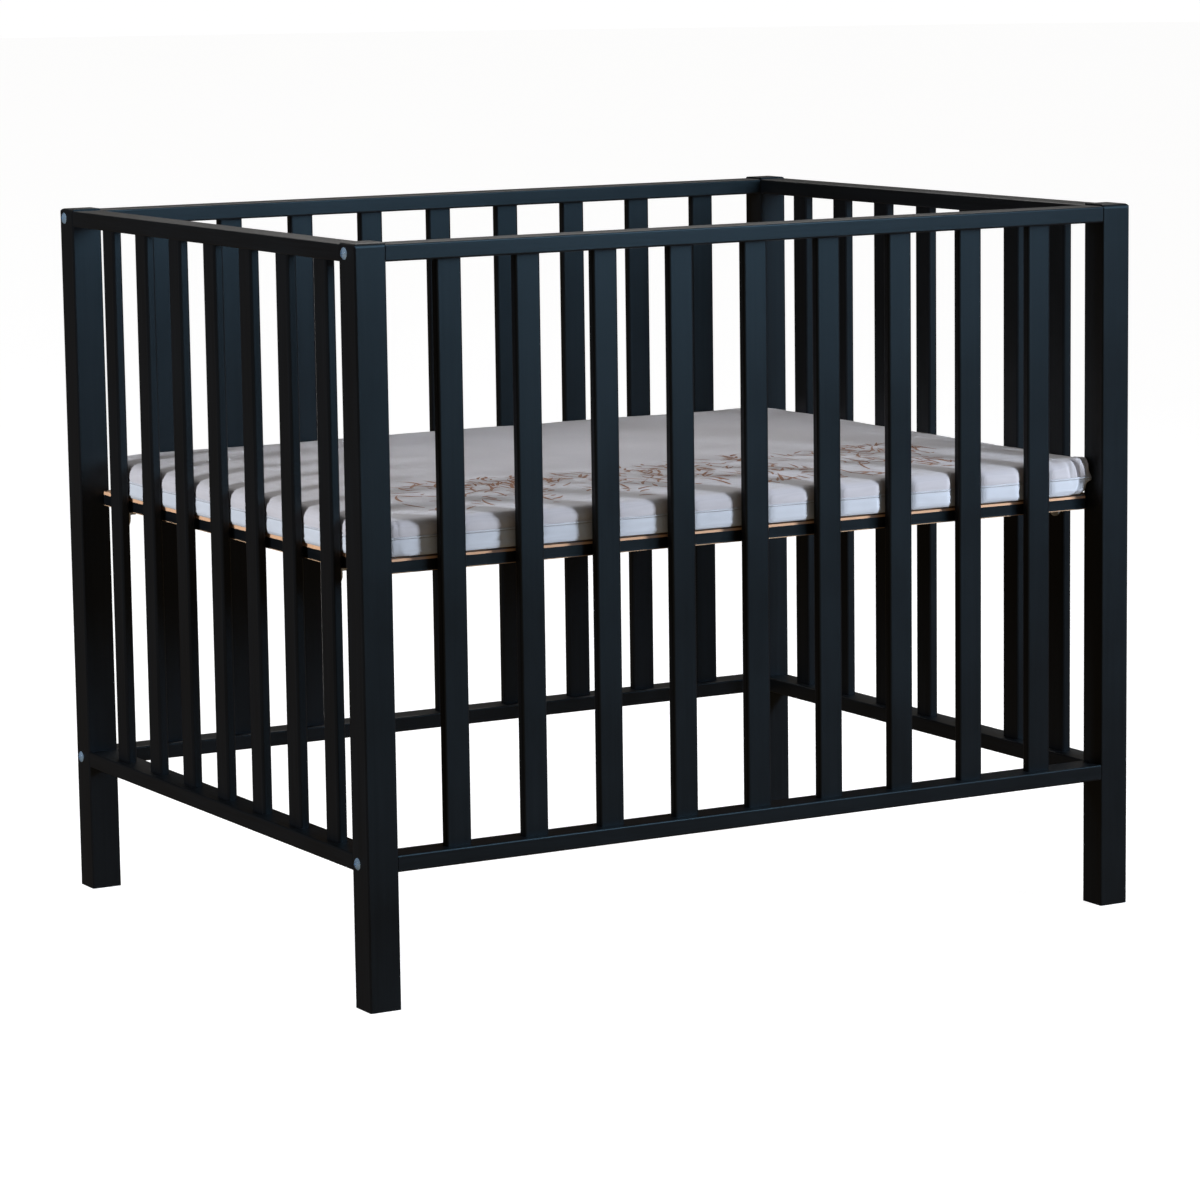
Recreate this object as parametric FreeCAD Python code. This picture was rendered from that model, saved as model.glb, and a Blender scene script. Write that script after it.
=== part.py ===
"""Playpen: slatted wooden frame, bolted at the corners, with a raised base and a mattress.

Millimetres. The origin is on the floor at the centre of the footprint.
+X runs along the long sides, +Y towards the back and +Z up.
The two ends are glued frames. The two long sides bolt between them, through the posts.
The base rests on four brackets on the end slats, and the mattress lies on the base.
"""
import os

import FreeCAD
import Part
from FreeCAD import Vector

# Overall size
LENGTH = 970.0
WIDTH = 760.0
HEIGHT = 800.0

# Corner posts
POST = 36.0
POST_EDGE = 2.0            # eased vertical edges
POST_TOP_CORNER = 5.0      # rounded top edge on the outer faces

# Rails, laid flat, the same section all round
RAIL_WIDE = 35.0
RAIL_THICK = 18.0
RAIL_EDGE = 2.0
RAIL_INSET = 0.5           # outer face of the rail behind the outer face of the post
TOP_RAIL_Z = 798.0         # top face of the top rails
LOWER_RAIL_Z = 164.0       # top face of the lower rails

# Slats
SLAT_WIDE = 30.0
SLAT_THICK = 11.5
SLAT_EDGE = 3.0
SLAT_TENON = 9.0           # depth of the blind mortise in each rail
SIDE_SLATS = 9
END_SLATS = 7
SIDE_PITCH = 92.7
END_PITCH = 91.0

# Corner joints: one bolt and one locating dowel into the end of each side rail
BOLT_LINE = 24.0           # bolt axis behind the front face of its post
DOWEL_LINE = 11.0          # dowel axis behind the front face of its post
BOLT_R = 3.0
BOLT_HOLE_R = 3.4
BOLT_HEAD_R = 6.5
BOLT_HEAD_TALL = 3.2
BOLT_IN_RAIL = 17.0        # length of shank inside the rail
RECESS_LONG = 6.4          # cross recess in the bolt head
RECESS_WIDE = 1.3
RECESS_DEEP = 1.8
INSERT_R = 5.0
INSERT_LONG = 15.0
DOWEL_R = 4.0
DOWEL_LONG = 36.0
END_DOWEL_GAP = 17.0       # between the two glued dowels in each end-rail joint
END_DOWEL_LONG = 30.0
END_DOWEL_IN_POST = 6.5    # short of the bolt and the locating dowel that cross the post

# Base: two thin boards with a frame between them
BASE_LONG = 914.0
BASE_WIDE = 700.0
BASE_Z = 454.5             # underside of the base
BOTTOM_BOARD = 2.5
BASE_FRAME = 10.0
TOP_BOARD = 4.0
FRAME_BAR = 32.0           # width of the edge frame's members
BATTEN_WIDE = 40.0
BATTENS = 3
NOTCH_GAP = 2.0            # clearance from the base's corner notches to the posts

# Base supports: a steel angle on the inner face of each outermost end slat
BRACKET_WIDE = 22.0
BRACKET_TALL = 17.0
BRACKET_TAB = 9.0
BRACKET_THICK = 2.5
SCREW_R = 2.0
SCREW_HEAD_R = 4.2
SCREW_HEAD_TALL = 2.0
SCREW_LONG = 9.0

# Mattress
MATTRESS_LONG = 920.0
MATTRESS_WIDE = 710.0
MATTRESS_THICK = 41.5
MATTRESS_GAP = 0.3         # clearance over the base
MATTRESS_CORNER = 45.0     # corner radius in plan
MATTRESS_EDGE = 12.0

# Worked out from the sizes above
HALF_L = LENGTH / 2
HALF_W = WIDTH / 2
POST_X = HALF_L - POST / 2
POST_Y = HALF_W - POST / 2
INNER_X = HALF_L - POST            # inner faces of the posts
INNER_Y = HALF_W - POST
RAIL_X = HALF_L - RAIL_INSET - RAIL_WIDE / 2
RAIL_Y = HALF_W - RAIL_INSET - RAIL_WIDE / 2
SLAT_BOTTOM = LOWER_RAIL_Z - SLAT_TENON
SLAT_TOP = TOP_RAIL_Z - RAIL_THICK + SLAT_TENON
RAIL_LEVELS = {"top": TOP_RAIL_Z - RAIL_THICK / 2, "lower": LOWER_RAIL_Z - RAIL_THICK / 2}
ENDS = {"left": -1, "right": 1}
SIDES = {"front": -1, "back": 1}
FRAME_Z = BASE_Z + BOTTOM_BOARD
TOP_BOARD_Z = FRAME_Z + BASE_FRAME
MATTRESS_Z = TOP_BOARD_Z + TOP_BOARD + MATTRESS_GAP

X_AXIS = Vector(1, 0, 0)
Y_AXIS = Vector(0, 1, 0)
Z_AXIS = Vector(0, 0, 1)


def block(size, centre):
    """Box of the given size about a centre."""
    low = Vector(*centre) - Vector(*size) / 2
    return Part.makeBox(size[0], size[1], size[2], low)


def edges_along(shape, axis):
    """Straight edges of the shape that run along an axis."""
    found = []
    for edge in shape.Edges:
        along = edge.tangentAt(edge.FirstParameter)
        if abs(along.dot(axis)) > 0.999:
            found.append(edge)
    return found


def eased_bar(size, centre, axis, radius):
    """Bar with its four long edges rounded."""
    bar = block(size, centre)
    return bar.makeFillet(radius, edges_along(bar, axis))


def rod(radius, length, start, axis):
    return Part.makeCylinder(radius, length, start, axis)


# ---------------------------------------------------------------- slats

def end_slat(end, number):
    """Upright slat of an end frame. Number 1 is at the back."""
    y = (END_SLATS + 1 - 2 * number) * END_PITCH / 2
    tall = SLAT_TOP - SLAT_BOTTOM
    centre = (ENDS[end] * RAIL_X, y, SLAT_BOTTOM + tall / 2)
    return eased_bar((SLAT_THICK, SLAT_WIDE, tall), centre, Z_AXIS, SLAT_EDGE)


def side_slat(side, number):
    """Upright slat of a long side. Number 1 is at the left."""
    x = (2 * number - SIDE_SLATS - 1) * SIDE_PITCH / 2
    tall = SLAT_TOP - SLAT_BOTTOM
    centre = (x, SIDES[side] * RAIL_Y, SLAT_BOTTOM + tall / 2)
    return eased_bar((SLAT_WIDE, SLAT_THICK, tall), centre, Z_AXIS, SLAT_EDGE)


END_SLAT_NAMES = [(end, n) for end in ENDS for n in range(1, END_SLATS + 1)]
SIDE_SLAT_NAMES = [(side, n) for side in SIDES for n in range(1, SIDE_SLATS + 1)]


# ---------------------------------------------------------------- fasteners

def outward(end):
    return Vector(ENDS[end], 0, 0)


def joint_point(end, side, level, line):
    """Point on a post's outer end face, where a bolt or dowel axis crosses it."""
    front_face = SIDES[side] * POST_Y - POST / 2
    return Vector(ENDS[end] * HALF_L, front_face + line, RAIL_LEVELS[level])


def corner_joints():
    for end in ENDS:
        for side in SIDES:
            for level in RAIL_LEVELS:
                yield end, side, level


def bolt(end, side, level):
    """Bolt with a domed head and a cross recess, its head on the post's end face."""
    out = outward(end)
    face = joint_point(end, side, level, BOLT_LINE)
    shank_long = POST + BOLT_IN_RAIL
    shank = rod(BOLT_R, shank_long, face - out * shank_long, out)
    ball_r = (BOLT_HEAD_R ** 2 + BOLT_HEAD_TALL ** 2) / (2 * BOLT_HEAD_TALL)
    ball = Part.makeSphere(ball_r, face + out * (BOLT_HEAD_TALL - ball_r))
    head = ball.common(rod(BOLT_HEAD_R, BOLT_HEAD_TALL, face, out))
    recess_centre = face + out * (BOLT_HEAD_TALL - RECESS_DEEP / 2)
    for size in ((RECESS_DEEP, RECESS_LONG, RECESS_WIDE), (RECESS_DEEP, RECESS_WIDE, RECESS_LONG)):
        head = head.cut(block(size, recess_centre))
    return head.fuse(shank).removeSplitter()


def bolt_hole(end, side, level):
    out = outward(end)
    face = joint_point(end, side, level, BOLT_LINE)
    deep = POST + BOLT_IN_RAIL + 1
    return rod(BOLT_HOLE_R, deep, face - out * deep, out)


def insert_bore(end, side, level):
    """Space of a threaded insert, in the end of the side rail."""
    out = outward(end)
    face = joint_point(end, side, level, BOLT_LINE)
    return rod(INSERT_R, INSERT_LONG, face - out * (POST + INSERT_LONG), out)


def threaded_insert(end, side, level):
    out = outward(end)
    face = joint_point(end, side, level, BOLT_LINE)
    return insert_bore(end, side, level).cut(rod(BOLT_R, LENGTH, face - out * LENGTH, out))


def locating_dowel(end, side, level):
    """Dowel across the joint between a post and a side rail."""
    out = outward(end)
    face = joint_point(end, side, level, DOWEL_LINE)
    return rod(DOWEL_R, DOWEL_LONG, face - out * (POST + DOWEL_LONG / 2), out)


def end_rail_dowels(end, side, level):
    """The two glued dowels between a post and an end rail."""
    start_y = SIDES[side] * (INNER_Y + END_DOWEL_IN_POST - END_DOWEL_LONG)
    made = []
    for shift in (-END_DOWEL_GAP / 2, END_DOWEL_GAP / 2):
        start = Vector(ENDS[end] * RAIL_X + shift, start_y, RAIL_LEVELS[level])
        made.append(rod(DOWEL_R, END_DOWEL_LONG, start, Y_AXIS * SIDES[side]))
    return made


# ---------------------------------------------------------------- posts and rails

def rounded_top(centre, sign, across, along):
    """Block as big as a post, with the top edge rounded on the side that sign and across give."""
    size = (POST, POST, HEIGHT)
    body = block(size, centre)
    corner = Vector(*centre) + across * (sign * POST / 2) + Z_AXIS * HEIGHT / 2
    rim = [e for e in edges_along(body, along) if e.CenterOfMass.isEqual(corner, 0.001)]
    return body.makeFillet(POST_TOP_CORNER, rim)


def post(end, side):
    """Square post. The top edges of its two outer faces are rounded."""
    centre = (ENDS[end] * POST_X, SIDES[side] * POST_Y, HEIGHT / 2)
    body = eased_bar((POST, POST, HEIGHT), centre, Z_AXIS, POST_EDGE)
    body = body.common(rounded_top(centre, ENDS[end], X_AXIS, Y_AXIS))
    body = body.common(rounded_top(centre, SIDES[side], Y_AXIS, X_AXIS))
    for level in RAIL_LEVELS:
        body = body.cut(bolt_hole(end, side, level))
        body = body.cut(locating_dowel(end, side, level))
        for dowel in end_rail_dowels(end, side, level):
            body = body.cut(dowel)
    return body


def end_rail(end, level):
    """Rail of an end frame, between its two posts, mortised for the slats."""
    centre = (ENDS[end] * RAIL_X, 0, RAIL_LEVELS[level])
    rail = eased_bar((RAIL_WIDE, 2 * INNER_Y, RAIL_THICK), centre, Y_AXIS, RAIL_EDGE)
    for number in range(1, END_SLATS + 1):
        rail = rail.cut(end_slat(end, number))
    for side in SIDES:
        for dowel in end_rail_dowels(end, side, level):
            rail = rail.cut(dowel)
    return rail


def side_rail(side, level):
    """Rail of a long side, between two posts, mortised for the slats and bored for the joints."""
    centre = (0, SIDES[side] * RAIL_Y, RAIL_LEVELS[level])
    rail = eased_bar((2 * INNER_X, RAIL_WIDE, RAIL_THICK), centre, X_AXIS, RAIL_EDGE)
    for number in range(1, SIDE_SLATS + 1):
        rail = rail.cut(side_slat(side, number))
    for end in ENDS:
        rail = rail.cut(bolt_hole(end, side, level))
        rail = rail.cut(insert_bore(end, side, level))
        rail = rail.cut(locating_dowel(end, side, level))
    return rail


# ---------------------------------------------------------------- base

def corner_notches():
    """Blocks that clear the base's corners round the posts."""
    size_x = BASE_LONG / 2 - (INNER_X - NOTCH_GAP)
    size_y = BASE_WIDE / 2 - (INNER_Y - NOTCH_GAP)
    notches = []
    for sx in ENDS.values():
        for sy in SIDES.values():
            centre = (sx * BASE_LONG / 2, sy * BASE_WIDE / 2, BASE_Z + (TOP_BOARD_Z - BASE_Z) / 2)
            notches.append(block((2 * size_x, 2 * size_y, 60), centre))
    return notches


def notched(shape):
    for notch in corner_notches():
        shape = shape.cut(notch)
    return shape


def base_board(bottom, thick):
    return notched(block((BASE_LONG, BASE_WIDE, thick), (0, 0, bottom + thick / 2)))


def base_long_bar(side):
    """Edge member along a long side, the whole length of the base."""
    centre = (0, SIDES[side] * (BASE_WIDE - FRAME_BAR) / 2, FRAME_Z + BASE_FRAME / 2)
    return notched(block((BASE_LONG, FRAME_BAR, BASE_FRAME), centre))


def base_end_bar(end):
    """Edge member at an end, between the two long members."""
    centre = (ENDS[end] * (BASE_LONG - FRAME_BAR) / 2, 0, FRAME_Z + BASE_FRAME / 2)
    return block((FRAME_BAR, BASE_WIDE - 2 * FRAME_BAR, BASE_FRAME), centre)


def base_batten(number):
    """Cross batten between the long members, inside the base."""
    bay = BASE_LONG / (BATTENS + 1)
    centre = (number * bay - BASE_LONG / 2, 0, FRAME_Z + BASE_FRAME / 2)
    return block((BATTEN_WIDE, BASE_WIDE - 2 * FRAME_BAR, BASE_FRAME), centre)


# ---------------------------------------------------------------- base supports

def support_places():
    """Inner face of each outermost end slat, at the underside of the base."""
    reach = (END_SLATS - 1) * END_PITCH / 2
    for end in ENDS:
        for side in SIDES:
            x = ENDS[end] * (RAIL_X - SLAT_THICK / 2)
            yield end, side, Vector(x, SIDES[side] * reach, BASE_Z)


def support_screw_start(end, face):
    inward = -outward(end)
    drop = BRACKET_TALL - BRACKET_WIDE / 2 + 1
    return face + inward * BRACKET_THICK - Z_AXIS * drop


def support_bracket(end, face):
    """Steel angle: a tab under the base, and a leg with a round end down the slat."""
    inward = -outward(end)
    round_r = BRACKET_WIDE / 2
    straight = BRACKET_TALL - round_r
    leg_centre = face + inward * BRACKET_THICK / 2 - Z_AXIS * straight / 2
    leg = block((BRACKET_THICK, BRACKET_WIDE, straight), leg_centre)
    leg = leg.fuse(rod(round_r, BRACKET_THICK, face - Z_AXIS * straight, inward))
    above = block((4 * BRACKET_THICK, BRACKET_WIDE, BRACKET_TALL), face + Z_AXIS * BRACKET_TALL / 2)
    leg = leg.cut(above)
    tab_centre = face + inward * BRACKET_TAB / 2 - Z_AXIS * BRACKET_THICK / 2
    tab = block((BRACKET_TAB, BRACKET_WIDE, BRACKET_THICK), tab_centre)
    start = support_screw_start(end, face)
    hole = rod(SCREW_R, 2 * BRACKET_THICK, start + inward * BRACKET_THICK / 2, -inward)
    return leg.fuse(tab).cut(hole).removeSplitter()


def support_screw(end, face):
    """Pan-head wood screw through the bracket's leg into the slat."""
    inward = -outward(end)
    start = support_screw_start(end, face)
    shank = rod(SCREW_R, SCREW_LONG, start, -inward)
    head = rod(SCREW_HEAD_R, SCREW_HEAD_TALL, start, inward)
    rim = [e for e in head.Edges if (e.CenterOfMass - start).dot(inward) > SCREW_HEAD_TALL * 0.9]
    head = head.makeFillet(SCREW_HEAD_TALL * 0.7, rim)
    slot_centre = start + inward * SCREW_HEAD_TALL
    for size in ((1.2, 4.4, 0.9), (1.2, 0.9, 4.4)):
        head = head.cut(block(size, slot_centre))
    return head.fuse(shank).removeSplitter()


# ---------------------------------------------------------------- mattress

def mattress():
    """Plain pad, rounded in plan to clear the posts, and rounded along its rims."""
    size = (MATTRESS_LONG, MATTRESS_WIDE, MATTRESS_THICK)
    pad = block(size, (0, 0, MATTRESS_Z + MATTRESS_THICK / 2))
    pad = pad.makeFillet(MATTRESS_CORNER, edges_along(pad, Z_AXIS))
    mid = MATTRESS_Z + MATTRESS_THICK / 2
    rims = [e for e in pad.Edges if abs(e.CenterOfMass.z - mid) > MATTRESS_THICK * 0.49]
    return pad.makeFillet(MATTRESS_EDGE, rims)


# ---------------------------------------------------------------- all the pieces

def pieces():
    """Every node's name and shape."""
    made = {}
    for side in SIDES:
        for end in ENDS:
            made[f"{side}_{end}_post"] = post(end, side)
    for level in RAIL_LEVELS:
        for end in ENDS:
            made[f"{end}_{level}_rail"] = end_rail(end, level)
        for side in SIDES:
            made[f"{side}_{level}_rail"] = side_rail(side, level)
    slats = {}
    for end, number in END_SLAT_NAMES:
        slats[(end, number)] = end_slat(end, number)
    for end, side, face in support_places():
        number = END_SLATS if side == "front" else 1
        slats[(end, number)] = slats[(end, number)].cut(support_screw(end, face))
    for (end, number), shape in slats.items():
        made[f"{end}_slat_{number}"] = shape
    for side, number in SIDE_SLAT_NAMES:
        made[f"{side}_slat_{number}"] = side_slat(side, number)

    made["frame_bolts"] = Part.makeCompound([bolt(*j) for j in corner_joints()])
    made["threaded_inserts"] = Part.makeCompound([threaded_insert(*j) for j in corner_joints()])
    made["locating_dowels"] = Part.makeCompound([locating_dowel(*j) for j in corner_joints()])
    glued = [dowel for j in corner_joints() for dowel in end_rail_dowels(*j)]
    made["end_rail_dowels"] = Part.makeCompound(glued)

    made["base_bottom_board"] = base_board(BASE_Z, BOTTOM_BOARD)
    made["base_top_board"] = base_board(TOP_BOARD_Z, TOP_BOARD)
    for side in SIDES:
        made[f"base_{side}_bar"] = base_long_bar(side)
    for end in ENDS:
        made[f"base_{end}_bar"] = base_end_bar(end)
    made["base_battens"] = Part.makeCompound([base_batten(n) for n in range(1, BATTENS + 1)])

    made["support_brackets"] = Part.makeCompound([support_bracket(e, f) for e, s, f in support_places()])
    made["support_screws"] = Part.makeCompound([support_screw(e, f) for e, s, f in support_places()])
    made["mattress"] = mattress()
    return made


os.makedirs("parts", exist_ok=True)
for name, shape in pieces().items():
    shape.exportStep(f"parts/{name}.step")
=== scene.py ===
"""Playpen: materials, mattress, studio and camera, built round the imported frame. Metres."""
import math
import random

import bmesh
import bpy
import numpy as np
from mathutils import Matrix, Vector
from mathutils.bvhtree import BVHTree


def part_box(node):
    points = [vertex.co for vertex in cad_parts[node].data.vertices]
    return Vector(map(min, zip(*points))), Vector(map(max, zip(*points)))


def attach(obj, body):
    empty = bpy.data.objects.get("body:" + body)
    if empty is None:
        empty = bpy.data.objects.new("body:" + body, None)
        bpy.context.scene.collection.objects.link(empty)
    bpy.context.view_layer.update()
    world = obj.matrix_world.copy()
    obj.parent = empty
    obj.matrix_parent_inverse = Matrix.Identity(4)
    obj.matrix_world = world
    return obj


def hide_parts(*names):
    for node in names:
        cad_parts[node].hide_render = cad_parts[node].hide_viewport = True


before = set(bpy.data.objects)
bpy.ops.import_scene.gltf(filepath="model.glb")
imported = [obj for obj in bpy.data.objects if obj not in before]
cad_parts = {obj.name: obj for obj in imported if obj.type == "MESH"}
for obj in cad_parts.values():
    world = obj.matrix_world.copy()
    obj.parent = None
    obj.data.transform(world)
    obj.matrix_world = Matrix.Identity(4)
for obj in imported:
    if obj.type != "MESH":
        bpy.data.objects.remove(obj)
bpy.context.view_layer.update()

MM = 0.001
RNG = random.Random(17)

# Mattress and its neighbours, taken from the frame
PAD_LOW, PAD_HIGH = (Vector(c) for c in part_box("mattress"))
PAD_HALF = Vector((PAD_HIGH.x, PAD_HIGH.y))
BASE_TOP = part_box("base_top_board")[1].z
SLAT_FACE_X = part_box("right_slat_4")[0].x
SLAT_FACE_Y = -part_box("front_slat_5")[1].y
POST_FACE_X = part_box("front_right_post")[0].x
POST_FACE_Y = -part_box("front_right_post")[1].y
SLAT_HALF = (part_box("front_slat_5")[1].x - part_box("front_slat_5")[0].x) / 2

# Shape of the cover
PAD_CORNER = 30 * MM
LOOSE_CORNER = 52 * MM           # the back left corner sits slack
TOP_RIM, LOW_RIM = 9 * MM, 4 * MM
START_SMALLER = 2.0 * MM         # the pad swells by about this in the simulation
VOXEL = 5 * MM
SEAM_Z = PAD_LOW.z + 20.2 * MM
LOBE_EDGE = 12 * MM              # width over which a lobe of the cover rises beside a slat
SLAT_CLEARANCE = 0.4 * MM
POST_CLEARANCE = 0.6 * MM
BASE_CLEARANCE = 0.25 * MM
PIPING_RADIUS = 0.95 * MM
PIPING_LIFT = 0.1 * MM

# Cloth simulation
CLOTH_FRAMES = 20
CLOTH_PRESSURE = 4.0
TOP_CAP, SIDE_CAP = 7 * MM, 5 * MM    # how far it may move a point

# Creases of the loose front right corner: place along X at the top, lean, depth and width, in millimetres
CREASES = (
    (416, 0.20, 1.4, 2.6),
    (425, 0.36, 5.5, 1.8),
    (431, 0.40, -1.8, 2.4),
    (437, 0.22, 4.5, 1.6),
    (441, 0.05, -2.2, 2.2),
    (445, 0.0, 3.0, 1.6),
)

# Print
PRINT_X = (-375 * MM, 330 * MM)
PRINT_Y = (-338 * MM, -118 * MM)
TUFTS = 190
PRINT_LIFT = 0.18 * MM

# Colours, linear RGB, in light and dark pairs
LACQUER = ((0.0022, 0.0028, 0.0036), (0.0044, 0.0054, 0.0067))
BIRCH = ((0.64, 0.39, 0.24), (0.53, 0.31, 0.18))
# Painted shadow: the mattress's overhang shading the top of the upper board's long edges
OVERHANG_PAINTED_SHADOW = (0.050, 0.030, 0.018)
LOWER_BOARD = ((0.42, 0.28, 0.17), (0.30, 0.19, 0.11))
LOWER_BOARD_DARK = (0.004, 0.0045, 0.0055)
PINE = ((0.66, 0.49, 0.30), (0.52, 0.35, 0.19))
BEECH = ((0.60, 0.42, 0.27), (0.50, 0.33, 0.20))
# Zinc bolt heads: plating colour plus a painted reflection, the bluish brightness standing in for a sky
# glint
ZINC_BOLT_AND_SHEEN = ((0.42, 0.60, 0.80), (0.25, 0.39, 0.55))
ZINC_SCREW = ((0.68, 0.72, 0.76), (0.52, 0.56, 0.60))
ZINC_BRACKET = ((0.72, 0.74, 0.74), (0.54, 0.57, 0.58))
BRASS = ((0.78, 0.60, 0.28), (0.62, 0.45, 0.18))
COVER_UPPER = ((0.478, 0.462, 0.480), (0.434, 0.420, 0.438))
COVER_LOWER = ((0.500, 0.528, 0.568), (0.455, 0.482, 0.525))
THREAD_GAP = (0.18, 0.18, 0.19)
# Painted shadow of the groove under the piping
SEAM_GROOVE_PAINTED_SHADOW = (0.06, 0.055, 0.05)
PIPING = ((0.42, 0.43, 0.46), (0.55, 0.57, 0.61))
INK = ((0.17, 0.056, 0.017), (0.27, 0.115, 0.045))
INK_WEAVE = (0.42, 0.37, 0.34)
WEAVE_PITCH = 0.0011
PIPING_PITCH = 0.0009

# Studio
FLOOR_HALF = 45.0
FLOOR_GLOW = 0.93
WORLD_STOPS = (                  # from straight down (0) to straight up (1)
    (0.0, (0.26, 0.19, 0.11)),
    (0.46, (0.17, 0.13, 0.085)),
    (0.54, (0.125, 0.11, 0.09)),
    (1.0, (0.22, 0.21, 0.20)),
)
WORLD_BEHIND = 0.45              # share of the world's light that comes from behind
CAMERA_PLACE = (-2.4873, -4.3833, 1.1118)
CAMERA_HEADING, CAMERA_DOWN, CAMERA_ROLL = (math.radians(a) for a in (29.694, 8.647, -0.794))
CAMERA_LENS, CAMERA_SENSOR = 132.4, 36.0


# ---------------------------------------------------------------- material helpers

class Nodes:
    """Short calls for building one material's node tree."""

    def __init__(self, name):
        self.mat = bpy.data.materials.new(name)
        self.mat.use_nodes = True
        self.tree = self.mat.node_tree
        self.shader = next(n for n in self.tree.nodes if n.type == "BSDF_PRINCIPLED")
        coord = self.add("ShaderNodeTexCoord")
        self.place = coord.outputs["Object"]

    def add(self, kind, **settings):
        node = self.tree.nodes.new(kind)
        for key, value in settings.items():
            setattr(node, key, value)
        return node

    def link(self, out, into):
        self.tree.links.new(out, into)

    def feed(self, node, socket, value):
        if isinstance(value, bpy.types.NodeSocket):
            self.link(value, node.inputs[socket])
        else:
            node.inputs[socket].default_value = value

    def scaled(self, scale, turn=(0, 0, 0)):
        """The object's place, stretched."""
        node = self.add("ShaderNodeMapping")
        self.link(self.place, node.inputs["Vector"])
        node.inputs["Scale"].default_value = scale
        node.inputs["Rotation"].default_value = turn
        return node.outputs["Vector"]

    def noise(self, vector, scale=1.0, detail=3.0, rough=0.55, distortion=0.0):
        node = self.add("ShaderNodeTexNoise")
        self.link(vector, node.inputs["Vector"])
        node.inputs["Scale"].default_value = scale
        node.inputs["Detail"].default_value = detail
        node.inputs["Roughness"].default_value = rough
        node.inputs["Distortion"].default_value = distortion
        return node.outputs["Fac"]

    def math(self, kind, a, b=0.0, clamp=False):
        node = self.add("ShaderNodeMath", operation=kind, use_clamp=clamp)
        self.feed(node, 0, a)
        self.feed(node, 1, b)
        return node.outputs[0]

    def spread(self, value, low, high, to_low=0.0, to_high=1.0):
        node = self.add("ShaderNodeMapRange")
        self.feed(node, "Value", value)
        node.inputs["From Min"].default_value = low
        node.inputs["From Max"].default_value = high
        node.inputs["To Min"].default_value = to_low
        node.inputs["To Max"].default_value = to_high
        return node.outputs["Result"]

    def mix(self, fac, a, b):
        node = self.add("ShaderNodeMix", data_type="RGBA")
        self.feed(node, "Factor", fac)
        for socket, value in ((6, a), (7, b)):
            if isinstance(value, bpy.types.NodeSocket):
                self.link(value, node.inputs[socket])
            else:
                node.inputs[socket].default_value = (*value, 1.0)
        return node.outputs[2]

    def axis(self, letter):
        node = self.add("ShaderNodeSeparateXYZ")
        self.link(self.place, node.inputs[0])
        return node.outputs[letter]

    def bump(self, height, strength, distance, under=None):
        node = self.add("ShaderNodeBump")
        node.inputs["Strength"].default_value = strength
        node.inputs["Distance"].default_value = distance
        self.link(height, node.inputs["Height"])
        if under is not None:
            self.link(under, node.inputs["Normal"])
        return node.outputs["Normal"]

    def finish(self, **sockets):
        for name, value in sockets.items():
            socket = name.replace("_", " ")
            if isinstance(value, tuple):
                value = (*value, 1.0)
            self.feed(self.shader, socket, value)
        return self.mat


def along(axis, fine, coarse):
    """Scale that stretches a pattern along one axis."""
    scale = [fine, fine, fine]
    scale["XYZ".index(axis)] = coarse
    return tuple(scale)


# ---------------------------------------------------------------- materials

def black_lacquer(axis):
    """Satin black lacquer over beech, with the pores and grain running along an axis."""
    n = Nodes("black_lacquer_" + axis)
    grain = n.noise(n.scaled(along(axis, 260, 7)), detail=4.0, rough=0.6, distortion=0.3)
    pores = n.noise(n.scaled(along(axis, 1400, 45)), detail=2.0, rough=0.5)
    cloud = n.noise(n.scaled((6, 6, 6)), detail=3.0)
    peel = n.noise(n.scaled((420, 420, 420)), detail=1.0)
    tone = n.math("ADD", n.math("MULTIPLY", grain, 0.6), n.math("MULTIPLY", cloud, 0.4))
    color = n.mix(n.spread(tone, 0.35, 0.68), *LACQUER)
    rough = n.math("ADD", n.spread(cloud, 0.3, 0.7, 0.36, 0.46), n.spread(pores, 0.3, 0.7, -0.02, 0.05))
    first = n.bump(grain, 0.22, 0.0003)
    second = n.bump(n.spread(pores, 0.58, 0.70, 1.0, 0.0), 0.12, 0.0001, first)
    normal = n.bump(peel, 0.035, 0.0002, second)
    return n.finish(Base_Color=color, Roughness=rough, Normal=normal, Specular_IOR_Level=0.22)


def plywood(name, light, dark, low, high):
    """Thin plywood: grain along X, plies across the edge, and a painted shadow along the top 1.3 mm of the
    long edges, under the mattress's overhang.
    """
    n = Nodes(name)
    grain = n.noise(n.scaled((5, 95, 40)), detail=5.0, rough=0.6, distortion=0.8)
    fibres = n.noise(n.scaled((60, 1500, 1500)), detail=2.0)
    ply = n.math("FRACT", n.math("MULTIPLY", n.math("SUBTRACT", n.axis("Z"), low.z), 3 / (high.z - low.z)))
    glue = n.spread(n.math("ABSOLUTE", n.math("SUBTRACT", ply, 0.5)), 0.40, 0.5, 0.0, 0.5)
    base = n.mix(n.spread(grain, 0.3, 0.72), light, dark)
    color = n.mix(glue, base, tuple(c * 0.55 for c in dark))
    color = n.mix(n.spread(fibres, 0.3, 0.75, 0.0, 0.25), color, tuple(c * 0.8 for c in dark))
    # Painted shadow along the top of the long edges, where the mattress overhangs the board
    on_edge = n.math("GREATER_THAN", n.math("ABSOLUTE", n.axis("Y")), high.y - 0.4 * MM)
    overhang_shadow_band = n.math("MULTIPLY", on_edge, n.math("GREATER_THAN", n.axis("Z"), high.z - 1.3 * MM))
    color = n.mix(overhang_shadow_band, color, OVERHANG_PAINTED_SHADOW)
    normal = n.bump(fibres, 0.3, 0.0002, n.bump(grain, 0.12, 0.0004))
    rough = n.spread(grain, 0.3, 0.7, 0.52, 0.68)
    return n.finish(Base_Color=color, Roughness=rough, Normal=normal, Specular_IOR_Level=0.4)


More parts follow.
